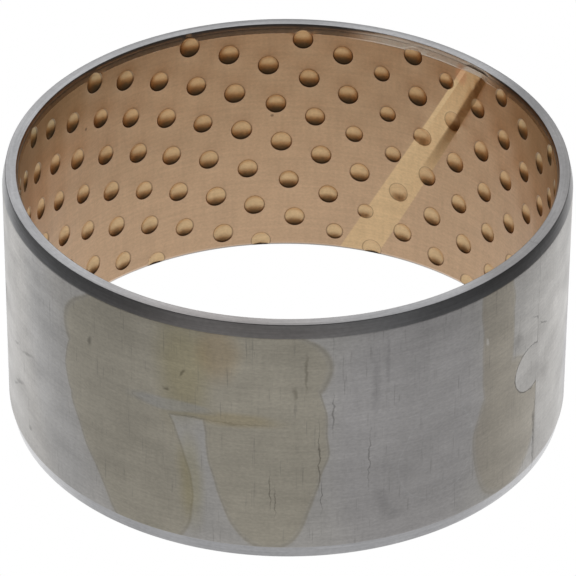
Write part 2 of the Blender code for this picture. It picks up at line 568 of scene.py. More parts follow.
def add(
    tree: NodeTree, kind: str, inputs: dict[str | int, object] | None = None, **settings: object
) -> Node:
    """Add a node with its settings, values and links.

    Args:
        tree: The node tree that takes the node.
        kind: The node's type.
        inputs: A value or an output socket for each input, by name or number.
        settings: Properties of the node.

    Returns:
        The new node.
    """
    node = tree.nodes.new(kind)
    for name, value in settings.items():
        setattr(node, name, value)
    for name, value in (inputs or {}).items():
        if isinstance(value, Socket):
            tree.links.new(value, node.inputs[name])
        else:
            node.inputs[name].default_value = value
    return node


def new_material(name: str) -> tuple[Material, NodeTree, Node]:
    """Make a node material.

    Args:
        name: The material's name.

    Returns:
        The material, its node tree and its Principled shader.
    """
    material = bpy.data.materials.new(name)
    material.use_nodes = True
    return material, material.node_tree, material.node_tree.nodes["Principled BSDF"]


def blend(
    tree: NodeTree, value: Socket, span: Span, low: Socket | Colour | float, high: Socket | Colour | float
) -> Socket:
    """Change softly from one level or colour to another as a value crosses a span.

    Args:
        tree: The node tree.
        value: The value that crosses the span.
        span: Where the change starts and ends.
        low: The level or colour at the start.
        high: The level or colour at the end.

    Returns:
        The blended level or colour.
    """
    share = add(
        tree,
        "ShaderNodeMapRange",
        {"Value": value, "From Min": span[0], "From Max": span[1]},
        interpolation_type="SMOOTHSTEP",
    )
    coloured = isinstance(high, tuple) or getattr(high, "type", "") in {"RGBA", "VECTOR"}
    first, kind = (6, "RGBA") if coloured else (2, "FLOAT")
    ends = {0: share.outputs[0], first: low, first + 1: high}
    mix = add(tree, "ShaderNodeMix", ends, data_type=kind)
    return mix.outputs[2 if coloured else 0]


@dataclass(frozen=True)
class Lobe:
    """One oval on the flat strip, in millimetres, that leans anticlockwise by an angle."""

    x: float
    y: float
    half_x: float
    half_y: float
    lean: float = 0.0

    def reach(self, tree: NodeTree, place: Socket) -> Socket:
        """Give the distance from the oval's middle, as a share of its half sizes.

        Args:
            tree: The material's node tree.
            place: The place on the strip.

        Returns:
            The distance, which is one on the oval's edge.
        """
        local = add(
            tree,
            "ShaderNodeMapping",
            {
                "Vector": place,
                "Location": (self.x, self.y, 0.0),
                "Rotation": (0.0, 0.0, self.lean),
                "Scale": (self.half_x, self.half_y, 1e6),
            },
            vector_type="TEXTURE",
        )
        length = add(tree, "ShaderNodeVectorMath", {0: local.outputs[0]}, operation="LENGTH")
        return length.outputs["Value"]


@dataclass(frozen=True)
class Mark:
    """One soft-edged stain, scratch or burnished spot, made of one or more ovals that merge."""

    lobes: tuple[Lobe, ...]
    colour: str
    strength: float = 0.6
    softness: float = 0.2
    tide: float = 0.0
    tide_width: float = 0.03
    tide_colour: str = "8a8068"
    blend: str = "MULTIPLY"

    def reach(self, tree: NodeTree, place: Socket) -> Socket:
        """Give the least distance from a lobe's middle, as a share of its half sizes.

        Args:
            tree: The material's node tree.
            place: The place on the strip.

        Returns:
            The distance, which is one on the mark's edge.
        """
        least = self.lobes[0].reach(tree, place)
        for lobe in self.lobes[1:]:
            nearer = add(
                tree, "ShaderNodeMath", {0: least, 1: lobe.reach(tree, place)}, operation="MINIMUM"
            )
            least = nearer.outputs[0]
        return least

    def cover(self, tree: NodeTree, reach: Socket) -> Socket:
        """Give the mark's strength at a distance from its middle, fading at its edge.

        Args:
            tree: The material's node tree.
            reach: The distance, which is one on the mark's edge.

        Returns:
            The strength.
        """
        fade = add(
            tree,
            "ShaderNodeMapRange",
            {
                "Value": reach,
                "From Min": 1.0 + self.softness,
                "From Max": 1.0 - self.softness,
                "To Max": self.strength,
            },
            interpolation_type="SMOOTHSTEP",
        )
        return fade.outputs[0]

    def lay(self, tree: NodeTree, place: Socket, under: Socket) -> Socket:
        """Lay the mark over a colour.

        Args:
            tree: The material's node tree.
            place: The place on the strip.
            under: The colour under the mark.

        Returns:
            The colour with the mark and, where it has one, the thin tide line around it.
        """
        reach = self.reach(tree, place)
        laid = add(
            tree,
            "ShaderNodeMix",
            {0: self.cover(tree, reach), 6: under, 7: linear(self.colour)},
            data_type="RGBA",
            blend_type=self.blend,
        )
        if not self.tide:
            return laid.outputs[2]
        offset = add(tree, "ShaderNodeMath", {0: reach, 1: 1.0}, operation="SUBTRACT")
        apart = add(tree, "ShaderNodeMath", {0: offset.outputs[0]}, operation="ABSOLUTE")
        line = add(
            tree,
            "ShaderNodeMapRange",
            {"Value": apart.outputs[0], "From Min": self.tide_width, "From Max": 0.0, "To Max": self.tide},
            interpolation_type="SMOOTHSTEP",
        )
        ringed = add(
            tree,
            "ShaderNodeMix",
            {0: line.outputs[0], 6: laid.outputs[2], 7: linear(self.tide_colour)},
            data_type="RGBA",
        )
        return ringed.outputs[2]


@dataclass(frozen=True)
class Grain:
    """Uneven streaks or specks that vary a colour, with their sizes on the strip in millimetres."""

    run: float
    rise: float
    contrast: float
    detail: float = 3.0

    def level(self, tree: NodeTree, place: Socket) -> Socket:
        """Give the streaks' height between 0 and 1 at a place on the strip.

        Args:
            tree: The material's node tree.
            place: The place on the strip.

        Returns:
            The height.
        """
        scaled = add(
            tree,
            "ShaderNodeMapping",
            {"Vector": place, "Scale": (1 / self.run, 1 / self.rise, 1 / self.rise)},
        )
        noise = add(
            tree, "ShaderNodeTexNoise", {"Vector": scaled.outputs[0], "Scale": 1.0, "Detail": self.detail}
        )
        return noise.outputs["Fac"]

    def shade(self, tree: NodeTree, place: Socket, under: Socket) -> Socket:
        """Vary a colour's lightness by the streaks.

        Args:
            tree: The material's node tree.
            place: The place on the strip.
            under: The even colour.

        Returns:
            The uneven colour.
        """
        factor = add(
            tree,
            "ShaderNodeMapRange",
            {
                "Value": self.level(tree, place),
                "From Min": 0.25,
                "From Max": 0.75,
                "To Min": 1 - self.contrast,
                "To Max": 1 + self.contrast,
            },
        )
        shaded = add(
            tree, "ShaderNodeVectorMath", {0: under, "Scale": factor.outputs[0]}, operation="SCALE"
        )
        return shaded.outputs["Vector"]


@dataclass(frozen=True)
class TornBurrHighlight:
    """Rough burr that the tool has torn up along a part of the upper inner chamfer.

    The burr fills the chamfer, so it stands nearly upright and catches the light from below. Its
    near-white colour is a painted highlight.
    """

    # Painted highlight: the burr's near-white colour stands in for the light it catches.
    colour: str = "fff2e2"
    roughness: float = 0.45
    metal: float = 0.6
    where: Mark = Mark((Lobe(74.0, 50.0, 15.0, 2.4),), "ffffff", 1.0, 0.35)
    foot: float = 48.9
    foot_fade: float = 0.2
    rise: float = 38.0
    tears: Grain = Grain(3.0, 0.35, 0.0)
    tear_edge: Span = (0.24, 0.44)
    bump_strength: float = 0.5
    bump_depth: float = 2e-5

    def cover(self, tree: NodeTree, strip: Socket, height: Socket) -> Socket:
        """Give the burr's share before it is broken up."""
        spread = self.where.cover(tree, self.where.reach(tree, strip))
        return blend(tree, height, (self.foot - self.foot_fade, self.foot), 0.0, spread)

    def share(self, tree: NodeTree, strip: Socket, cover: Socket) -> Socket:
        """Give the burr's share, broken up into short streaks."""
        return blend(tree, self.tears.level(tree, strip), self.tear_edge, 0.0, cover)

    def relief(self, tree: NodeTree, height: Socket, cover: Socket, fine: Socket) -> Socket:
        """Add the burr's slope to a fine relief.

        Args:
            tree: The material's node tree.
            height: The height on the strip.
            cover: The burr's share before it is broken up.
            fine: The fine relief of the rest of the surface.

        Returns:
            The relief for a bump.
        """
        above = add(
            tree,
            "ShaderNodeMath",
            {0: height, 1: self.rise, 2: -self.rise * self.foot},
            operation="MULTIPLY_ADD",
        )
        total = add(
            tree, "ShaderNodeMath", {0: above.outputs[0], 1: cover, 2: fine}, operation="MULTIPLY_ADD"
        )
        return total.outputs[0]

    def dress(
        self, tree: NodeTree, shader: Node, share: Socket, gloss: Socket | float, relief: Socket
    ) -> None:
        """Lay the burr's roughness and metal over a surface's own, and emboss the relief.

        Args:
            tree: The material's node tree.
            shader: The material's shader.
            share: The burr's share, broken up.
            gloss: The roughness of the rest of the surface.
            relief: The relief of the whole surface.
        """
        for name, under, over in (("Roughness", gloss, self.roughness), ("Metallic", 1.0, self.metal)):
            level = add(tree, "ShaderNodeMix", {0: share, 2: under, 3: over}, data_type="FLOAT")
            tree.links.new(level.outputs[0], shader.inputs[name])
        bump = add(
            tree,
            "ShaderNodeBump",
            {"Strength": self.bump_strength, "Distance": self.bump_depth, "Height": relief},
        )
        tree.links.new(bump.outputs["Normal"], shader.inputs["Normal"])


@dataclass(frozen=True)
class BoredBronze:
    """Sintered leaded bronze, pressed with the strip and then bored: satin, warm brown bore.

    The boring tool leaves fine lines around the bore. The pockets and the groove stay below the
    tool, so they keep the yellower surface of the pressed powder. The turned chamfer is smoother
    and mirrors the dark room, except where the tool has torn up a rough burr, whose near-white
    colour is a painted highlight. Shade is painted into the colour as well: the bore darkens
    towards the top, a dark ring lies inside each pocket's rim, the pockets' upward-facing lower
    sides and the groove's steep wall are darkened, and cool grey tints on the bore's sides are
    painted sheen.
    """

    sizes: BushingSizes
    burr: TornBurrHighlight = TornBurrHighlight()
    name: str = "bronze_bored_satin"
    # Painted shade: the bore's tone runs from lighter at the foot to darker at the top.
    bore_tones: tuple[str, str] = ("dab794", "cdaa85")
    pocket_tones: tuple[str, str] = ("edcb9c", "dcb482")
    floor_tones: tuple[str, str] = ("eecb9c", "f4d2a0")
    # Painted shade: the groove's steep wall, the pockets' rims and their upward-facing sides.
    steep_wall_shade: str = "8a683f"
    rim: str = "5c3c22"
    painted_lower_shade: str = "7a5836"
    chamfer: str = "f0d6ba"
    chamfer_steel: str = "9c938b"
    roughness: float = 0.4
    chamfer_roughness: float = 0.38
    oil_coat: float = 0.3
    oil_roughness: float = 0.25
    # Where each surface starts: across the groove, down a pocket, and above the top of the bore.
    groove_edge: Span = (1.02, 0.93)
    pocket_edge: Span = (0.05, 0.3)
    turned_rise: Span = (0.18, 0.36)
    smeared_rise: Span = (0.7, 1.3)
    # The chamfer's torn lower edge, and how far it drops in the groove and the pockets.
    tears: Grain = Grain(1.5, 0.5, 0.0)
    tear_height: float = 0.5
    groove_drop: float = -0.5
    pocket_drop: float = -2.0
    pocket_start: Span = (0.02, 0.12)
    # Painted shade: a dark ring inside the pockets' rims, their upward-facing lower sides, and the
    # dark upper part of the groove's steep wall.
    rim_start: Span = (0.0, 0.06)
    rim_end: Span = (0.1, 0.32)
    rim_strength: float = 0.45
    painted_shade_start: Span = (0.0, 0.1)
    painted_shade_facing: Span = (0.22, 0.75)
    painted_shade_strength: float = 0.55
    steep_rim: Span = (-1.02, -0.93)
    steep_foot: Span = (-0.25, -0.42)
    steep_rise: Span = (0.35, 0.7)
    steep_strength: float = 0.7
    # The real lines are too fine to show, so they are drawn coarser.
    lines: Grain = Grain(18.0, 0.5, 0.0)
    streaks: tuple[Grain, ...] = (
        Grain(30.0, 22.0, 0.07), Grain(24.0, 0.8, 0.06), Grain(1.4, 14.0, 0.05), Grain(0.6, 0.45, 0.08)
    )
    marks: tuple[Mark, ...] = (
        Mark((Lobe(67.1, 47.5, 1.2, 2.2),), "efb98c", 0.7, 0.4, blend="MIX"),
        # Painted sheen: cool grey tints over the upper bore and its chamfer on the left and right sides.
        Mark((Lobe(172.0, 53.0, 32.0, 12.0),), "daebf3", 1.0, 0.7),
        Mark((Lobe(36.0, 53.0, 18.0, 13.0),), "e6f4fa", 1.0, 0.7),
        Mark((Lobe(147.0, 38.7, 0.3, 0.3), Lobe(106.0, 30.5, 0.3, 0.3)), "5c4630", 0.6, 0.6),
    )

    def material(self) -> Material:
        """Make the material.

        Returns:
            A metal whose colour follows the pockets, the groove and the chamfers.
        """
        material, tree, shader = new_material(self.name)
        strip = add(tree, "ShaderNodeAttribute", attribute_name="strip").outputs["Vector"]
        across = add(tree, "ShaderNodeAttribute", attribute_name="groove").outputs["Fac"]
        pocket = add(tree, "ShaderNodeAttribute", attribute_name="pocket").outputs["Fac"]
        height = add(tree, "ShaderNodeSeparateXYZ", {"Vector": strip}).outputs["Y"]
        offset = add(tree, "ShaderNodeMath", {0: across}, operation="ABSOLUTE").outputs[0]
        ragged = self.ragged_height(tree, strip, height, offset, pocket)
        turned, smeared = self.above_bore(self.turned_rise), self.above_bore(self.smeared_rise)

        # Painted shade: the bore darkens from the foot to the top. The pockets' and the groove floor's
        # tones also change with height.
        whole = (0.0, self.sizes.length)
        bored, floor, powder = (
            blend(tree, height, whole, linear(low), linear(high))
            for low, high in (self.bore_tones, self.floor_tones, self.pocket_tones)
        )
        colour = blend(tree, offset, self.groove_edge, bored, floor)
        colour = blend(tree, pocket, self.pocket_edge, colour, powder)
        # Painted shade in the pockets and on the groove's steep wall.
        colour = self.paint_hollow_shade(tree, colour, across, pocket, height)
        colour = blend(tree, ragged, turned, colour, linear(self.chamfer))
        colour = blend(tree, ragged, smeared, colour, linear(self.chamfer_steel))
        cover = self.burr.cover(tree, strip, height)
        burr = self.burr.share(tree, strip, cover)
        # Painted highlight: the torn burr's near-white colour.
        torn = add(
            tree, "ShaderNodeMix", {0: burr, 6: colour, 7: linear(self.burr.colour)}, data_type="RGBA"
        )
        colour = torn.outputs[2]
        for mark in self.marks:
            colour = mark.lay(tree, strip, colour)
        for streak in self.streaks:
            colour = streak.shade(tree, strip, colour)
        tree.links.new(colour, shader.inputs["Base Color"])

        gloss = blend(tree, ragged, turned, self.roughness, self.chamfer_roughness)
        lines = self.lines.level(tree, strip)
        relief = self.burr.relief(tree, height, cover, lines)
        self.burr.dress(tree, shader, burr, gloss, relief)
        shader.inputs["Coat Weight"].default_value = self.oil_coat
        shader.inputs["Coat Roughness"].default_value = self.oil_roughness
        return material

    def above_bore(self, rises: Span) -> Span:
        """Turn two rises above the top of the bore into heights on the strip."""
        return self.sizes.bore_top + rises[0], self.sizes.bore_top + rises[1]

    def ragged_height(
        self, tree: NodeTree, strip: Socket, height: Socket, offset: Socket, pocket: Socket
    ) -> Socket:
        """Give the height with a ragged shift, so that the turned chamfer's lower edge is uneven.

        Args:
            tree: The material's node tree.
            strip: The place on the strip.
            height: The height on the strip.
            offset: The distance from the groove's middle, as a share of its half width.
            pocket: The share of the pockets' depth.

        Returns:
            The shifted height, lower in the groove and the pockets, which the tool doesn't reach.
        """
        uneven = self.tears.level(tree, strip)
        grooved = blend(tree, offset, self.groove_edge, 0.0, self.groove_drop)
        lowered = blend(tree, pocket, self.pocket_start, grooved, self.pocket_drop)
        shift = add(
            tree, "ShaderNodeMath", {0: uneven, 1: self.tear_height, 2: lowered}, operation="MULTIPLY_ADD"
        )
        total = add(tree, "ShaderNodeMath", {0: height, 1: shift.outputs[0]}, operation="ADD")
        return total.outputs[0]

    def paint_hollow_shade(
        self, tree: NodeTree, colour: Socket, across: Socket, pocket: Socket, height: Socket
    ) -> Socket:
        """Paint shade into the pockets' rims and upward-facing lower sides and onto the groove's steep
        wall.

        Args:
            tree: The material's node tree.
            colour: The colour so far.
            across: The place across the groove.
            pocket: The share of the pockets' depth.
            height: The height on the strip.

        Returns:
            The darkened colour.
        """
        facing = add(tree, "ShaderNodeNewGeometry").outputs["Normal"]
        upwards = add(tree, "ShaderNodeSeparateXYZ", {"Vector": facing}).outputs["Z"]
        # Painted shade: a dark ring just inside each pocket's rim.
        inner = blend(tree, pocket, self.rim_end, self.rim_strength, 0.0)
        # Painted shade on the faces that point upwards, the pockets' lower sides.
        lower_side_shade = blend(tree, upwards, self.painted_shade_facing, 0.0, self.painted_shade_strength)
        # Painted shade on the groove's steep wall, stronger towards the top.
        heights = tuple(share * self.sizes.length for share in self.steep_rise)
        upper_wall = blend(tree, height, heights, 0.0, self.steep_strength)
        steep = blend(tree, across, self.steep_rim, 0.0, upper_wall)
        for share, tone in (
            (blend(tree, pocket, self.rim_start, 0.0, inner), self.rim),
            (blend(tree, pocket, self.painted_shade_start, 0.0, lower_side_shade), self.painted_lower_shade),
            (blend(tree, across, self.steep_foot, 0.0, steep), self.steep_wall_shade),
        ):
            layer = add(tree, "ShaderNodeMix", {0: share, 6: colour, 7: linear(tone)}, data_type="RGBA")
            colour = layer.outputs[2]
        return colour


@dataclass(frozen=True)
class GroundSteel:
    """Low-carbon steel strip, ground on the outside and lightly oiled.

    Grinding leaves fine lines around the wall. Dried oil shows as large flat olive and tan stains
    with thin tide lines; handling has left short dents and upright scratches.
    """

    name: str = "steel_ground_oiled"
    tones: tuple[str, str] = ("bebbb7", "d6d3cf")
    tone_span: Span = (6.0, 42.0)
    roughness: float = 0.38
    oil_coat: float = 0.2
    oil_roughness: float = 0.3
    # The size and the reach of the unevenness of their outlines.
    stain_wander: tuple[float, float] = (17.0, 2.6)
    scratch_wander: tuple[float, float] = (1.2, 0.5)
    streaks: tuple[Grain, ...] = (
        Grain(30.0, 22.0, 0.08),
        Grain(6.0, 4.0, 0.06),
        Grain(9.0, 0.6, 0.06),
        Grain(0.9, 8.0, 0.03),
        Grain(0.7, 0.4, 0.1),
    )
    stains: tuple[Mark, ...] = (
        Mark(
            (
                Lobe(239.8, 40.6, 24.6, 12.1),
                Lobe(229.5, 20.0, 10.4, 21.0, 0.28),
                Lobe(253.8, 27.0, 9.8, 24.6, 0.04),
                Lobe(224.5, 32.0, 8.6, 10.0),
            ),
            "f3edda",
            0.8,
            0.05,
            0.3,
            0.03,
        ),
        Mark((Lobe(240.0, 39.0, 4.6, 11.0), Lobe(241.0, 15.0, 2.0, 9.0)), "f4efd2", 0.7, 0.6),
        Mark((Lobe(246.5, 44.0, 3.5, 6.0),), "fdebd0", 0.6, 0.5),
        Mark((Lobe(249.0, 29.5, 6.5, 1.6),), "f6ecd0", 0.6, 0.5),
        Mark((Lobe(237.8, 30.6, 7.5, 1.4),), "c4c6ca", 0.4, 0.3, 0.2, blend="MIX"),
        Mark((Lobe(297.6, 40.0, 4.2, 24.0), Lobe(301.0, 16.0, 8.6, 14.5)), "f0e9da", 0.85, 0.1, 0.2),
        Mark((Lobe(279.0, 25.0, 15.0, 34.0),), "f6f6fb", 0.8, 0.3),
        Mark((Lobe(284.5, 18.5, 7.6, 9.5),), "ffffff", 0.0, 0.1, 0.15, tide_colour="dedede"),
        Mark((Lobe(211.0, 24.0, 6.0, 30.0, 0.25),), "f6f8fc", 0.7, 0.5),
        Mark((Lobe(120.0, 24.0, 20.0, 26.0), Lobe(134.0, 30.0, 14.0, 16.0)), "fdf3e0", 0.9, 0.1, 0.3),
        Mark((Lobe(70.0, 30.0, 16.0, 18.0), Lobe(61.0, 18.0, 11.0, 16.0)), "fdf3e4", 0.9, 0.1, 0.25),
        Mark((Lobe(28.0, 14.0, 12.0, 16.0),), "f4f6ff", 0.8, 0.3),
    )
    scratches: tuple[Mark, ...] = (
        Mark((Lobe(263.0, 22.5, 0.1, 6.5), Lobe(263.5, 14.0, 0.08, 3.0)), "4c4640", 0.5, 0.7),
        Mark((Lobe(254.8, 15.0, 0.1, 3.5), Lobe(255.6, 12.5, 0.08, 2.8)), "4c4640", 0.45, 0.7),
        Mark((Lobe(271.6, 21.0, 0.09, 6.0), Lobe(265.4, 32.0, 0.14, 3.5)), "4c4640", 0.4, 0.7),
        Mark((Lobe(239.8, 38.6, 0.25, 0.8, -0.5), Lobe(236.9, 34.4, 0.6, 0.3)), "4a4036", 0.45, 0.7),
        Mark((Lobe(246.8, 29.4, 8.0, 0.12), Lobe(248.4, 29.1, 0.7, 0.3)), "6c5a3c", 0.25, 0.7),
        Mark((Lobe(309.4, 35.0, 2.0, 0.16, -0.55), Lobe(2.2, 32.6, 1.6, 0.16, -0.55)), "4a4844", 0.5, 0.7),
        Mark((Lobe(3.2, 20.5, 2.2, 1.6, -0.5), Lobe(302.5, 34.0, 1.2, 1.6)), "8c8884", 0.35, 0.9),
        Mark((Lobe(201.5, 23.5, 2.4, 0.3, 0.4), Lobe(196.5, 22.5, 1.4, 0.25, 0.4)), "5a5652", 0.4, 0.8),
        Mark((Lobe(197.5, 14.5, 2.0, 0.3, 0.4), Lobe(195.0, 12.5, 1.4, 0.25, 0.5)), "5a5652", 0.45, 0.8),
        Mark((Lobe(202.2, 7.3, 0.5, 0.35, 0.3), Lobe(221.3, 38.2, 0.35, 0.9)), "4e4a46", 0.45, 0.8),
        Mark((Lobe(187.0, 27.5, 1.2, 1.8, 0.3), Lobe(185.0, 22.5, 1.0, 1.4)), "4a4642", 0.6, 0.8),
        Mark((Lobe(258.9, 36.4, 0.35, 1.2), Lobe(260.8, 41.0, 0.25, 3.5)), "6c6250", 0.35, 0.8),
        Mark((Lobe(272.6, 36.5, 0.6, 5.0), Lobe(274.6, 42.0, 0.3, 4.0)), "77767c", 0.22, 0.9),
        Mark((Lobe(274.0, 11.0, 1.0, 3.0, 0.3), Lobe(276.0, 7.5, 1.6, 0.8)), "77767a", 0.16, 0.9),
        Mark((Lobe(294.5, 38.0, 0.3, 0.8, 0.3),), "f4f0ea", 0.6, 0.6, blend="MIX"),
        Mark((Lobe(308.9, 9.5, 0.14, 7.0), Lobe(308.6, 13.0, 0.3, 1.2)), "3c3a38", 0.6, 0.7),
        # Dirt in the round of the seam: the mark itself is clear, and only its tide line shows.
        Mark((Lobe(307.0, 25.4, 4.76, 4.76),), "ffffff", 0.0, 0.1, 0.6, 0.05, "54524f"),
    )
    scuffs: Grain = Grain(0.4, 7.0, 0.0, 2.0)
    scuff_colour: str = "77736f"
    scuff_strength: float = 0.3
    scuff_edge: Span = (0.62, 0.78)
    gloss_grain: Grain = Grain(9.0, 5.0, 0.0)
    gloss_change: float = 0.04
    # The real grinding lines are too fine to show, so they are drawn coarser.
    lines: Grain = Grain(16.0, 0.4, 0.0)
    bump_strength: float = 0.4
    bump_depth: float = 1.5e-5

    def wander(self, tree: NodeTree, place: Socket, size: float, reach: float) -> Socket:
        """Shift a place to and fro by a noise, so that outlines come out uneven.

        Args:
            tree: The material's node tree.
            place: The place on the strip.
            size: The size of the unevenness, in millimetres.
            reach: The most that a place is shifted, in millimetres.

        Returns:
            The shifted place.
        """
        drift = add(
            tree,
            "ShaderNodeTexNoise",
            {"Vector": place, "Scale": 1 / size, "Detail": 2.0, "Roughness": 0.4},
        )
        centred = add(
            tree,
            "ShaderNodeVectorMath",
            {0: drift.outputs["Color"], 1: (0.5, 0.5, 0.5)},
            operation="SUBTRACT",
        )
        shifted = add(
            tree,
            "ShaderNodeVectorMath",
            {0: centred.outputs["Vector"], 1: (2 * reach,) * 3, 2: place},
            operation="MULTIPLY_ADD",
        )
        return shifted.outputs["Vector"]

    def material(self) -> Material:
        """Make the material.

        Returns:
            A grey satin metal with stains, streaks and scratches laid out on the strip.
        """
        material, tree, shader = new_material(self.name)
        strip = add(tree, "ShaderNodeAttribute", attribute_name="strip").outputs["Vector"]
        drifting = self.wander(tree, strip, *self.stain_wander)
        jittery = self.wander(tree, strip, *self.scratch_wander)
        height = add(tree, "ShaderNodeSeparateXYZ", {"Vector": strip}).outputs["Y"]
        colour = blend(tree, height, self.tone_span, *map(linear, self.tones))
        for stain in self.stains:
            colour = stain.lay(tree, drifting, colour)
        for scratch in self.scratches:
            colour = scratch.lay(tree, jittery, colour)
        scuffed = self.scuffs.level(tree, strip)
        layer = add(
            tree,
            "ShaderNodeMix",
            {
                0: blend(tree, scuffed, self.scuff_edge, 0.0, self.scuff_strength),
                6: colour,
                7: linear(self.scuff_colour),
            },
            data_type="RGBA",
        )
        colour = layer.outputs[2]
        for streak in self.streaks:
            colour = streak.shade(tree, strip, colour)
        tree.links.new(colour, shader.inputs["Base Color"])
        gloss = add(
            tree,
            "ShaderNodeMapRange",
            {
                "Value": self.gloss_grain.level(tree, strip),
                "From Min": 0.3,
                "From Max": 0.7,
                "To Min": self.roughness - self.gloss_change,
                "To Max": self.roughness + self.gloss_change,
            },
        )
        tree.links.new(gloss.outputs[0], shader.inputs["Roughness"])
        shader.inputs["Metallic"].default_value = 1.0
        shader.inputs["Coat Weight"].default_value = self.oil_coat
        shader.inputs["Coat Roughness"].default_value = self.oil_roughness
        lines = self.lines.level(tree, strip)
        bump = add(
            tree,
            "ShaderNodeBump",
            {"Strength": self.bump_strength, "Distance": self.bump_depth, "Height": lines},
        )
        tree.links.new(bump.outputs["Normal"], shader.inputs["Normal"])
        return material


@dataclass(frozen=True)
class TurnedSteel:
    """The same steel where a tool has turned the ends and chamfers: brighter, finely ringed."""

    burr: TornBurrHighlight = TornBurrHighlight()
    name: str = "steel_turned_ends"
    colour: str = "c2c2c4"
    roughness: float = 0.28
    bore_side_colour: str = "b0a8a2"
    # How far out through the wall the bore side's tone and the burr give way to the end face.
    tone_edge: Span = (0.58, 0.7)
    burr_edge: Span = (0.6, 0.64)
    # The real turning rings are too fine to show, so they are drawn coarser.
    rings: Grain = Grain(14.0, 0.22, 0.0)
    streaks: tuple[Grain, ...] = (Grain(16.0, 9.0, 0.12), Grain(9.0, 0.3, 0.12), Grain(0.8, 0.6, 0.08))
    marks: tuple[Mark, ...] = (
        Mark((Lobe(16.0, 50.0, 30.0, 4.0), Lobe(309.0, 50.0, 16.0, 4.0)), "d8d6d4", 1.0, 0.4),
        Mark((Lobe(246.0, 49.0, 22.0, 2.6),), "fff4ec", 0.6, 0.6),
        Mark((Lobe(49.0, 50.0, 9.0, 4.0),), "dcdcdc", 1.0, 0.6),
    )

    def material(self) -> Material:
        """Make the material.

        Returns:
            A grey metal with fine rings.
        """
        material, tree, shader = new_material(self.name)
        strip = add(tree, "ShaderNodeAttribute", attribute_name="strip").outputs["Vector"]
        axes = add(tree, "ShaderNodeSeparateXYZ", {"Vector": strip})
        colour = blend(
            tree, axes.outputs["Z"], self.tone_edge, linear(self.bore_side_colour), linear(self.colour)
        )
        for mark in self.marks:
            colour = mark.lay(tree, strip, colour)
        for streak in self.streaks:
            colour = streak.shade(tree, strip, colour)
        everywhere = self.burr.cover(tree, strip, axes.outputs["Y"])
        cover = blend(tree, axes.outputs["Z"], self.burr_edge, everywhere, 0.0)
        burr = self.burr.share(tree, strip, cover)
        # Painted highlight: the torn burr's near-white colour.
        torn = add(
            tree, "ShaderNodeMix", {0: burr, 6: colour, 7: linear(self.burr.colour)}, data_type="RGBA"
        )
        tree.links.new(torn.outputs[2], shader.inputs["Base Color"])
        rings = self.rings.level(tree, strip)
        relief = self.burr.relief(tree, axes.outputs["Y"], cover, rings)
        self.burr.dress(tree, shader, burr, self.roughness, relief)
        return material


# --- The two metal layers -----------------------------------------------------------------------


def shade_round(mesh: BMesh, angle: float) -> None:
    """Face a closed mesh outwards and shade it smooth, but for its sharp edges.

    Args:
        mesh: The rolled mesh.
        angle: The bend, in radians, from which an edge is sharp.
    """
    bmesh.ops.recalc_face_normals(mesh, faces=mesh.faces[:])
    for face in mesh.faces:
        face.smooth = True
    for edge in mesh.edges:
        edge.smooth = len(edge.link_faces) != 2 or edge.calc_face_angle() < angle


def link_mesh(mesh: BMesh, name: str) -> Object:
    """Turn a finished mesh into an object of the scene.

    Args:
        mesh: The mesh, which is freed.
        name: The object's name.

    Returns:
        The object, with no material yet.
    """
    data = bpy.data.meshes.new(name)
    mesh.to_mesh(data)
    mesh.free()
    thing = bpy.data.objects.new(name, data)
    bpy.context.scene.collection.objects.link(thing)
    return thing


def link_piece(mesh: BMesh, name: str, node: str, materials: list[Material]) -> Object:
    """Turn a finished mesh into a piece that stands for a CAD node.

    Args:
        mesh: The rolled mesh, which is freed.
        name: The piece's name.
        node: The CAD node that it replaces.
        materials: The piece's materials, by face material number.

    Returns:
        The piece.
    """
    piece = link_mesh(mesh, name)
    for material in materials:
        piece.data.materials.append(material)
    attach(piece, "root")
    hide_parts(node)
    log.info("%s: %d faces", name, len(piece.data.polygons))
    return piece


@dataclass
class BronzeLining:
    """Thin bronze layer with its bore surface, its two bronze chamfer bands and its bonded back."""

    sizes: BushingSizes
    strip: PressedStrip
    finish: BoredBronze
    sharp_angle: float = math.radians(17)

    def build(self) -> Object:
        """Build the lining and dress it.

        Returns:
            The finished piece.
        """
        mesh = self.strip.sheet()
        pressed = {corner: corner.co.z for corner in mesh.verts}
        front = mesh.verts[:]
        grown = bmesh.ops.extrude_face_region(mesh, geom=mesh.faces[:], use_keep_orig=True)
        for corner in grown["geom"]:
            if isinstance(corner, BMVert):
                corner.co.z += self.sizes.lining
        for corner in front:
            corner.co.z = max(pressed[corner], self.sizes.chamfer(corner.co.y))
        self.sizes.roll(mesh)
        shade_round(mesh, self.sharp_angle)
        return link_piece(mesh, "bronze_lining_fine", "bronze_lining", [self.finish.material()])


class SteelFace(Enum):
    """Material numbers of the steel backing's surfaces."""

    GROUND = 0
    TURNED = 1


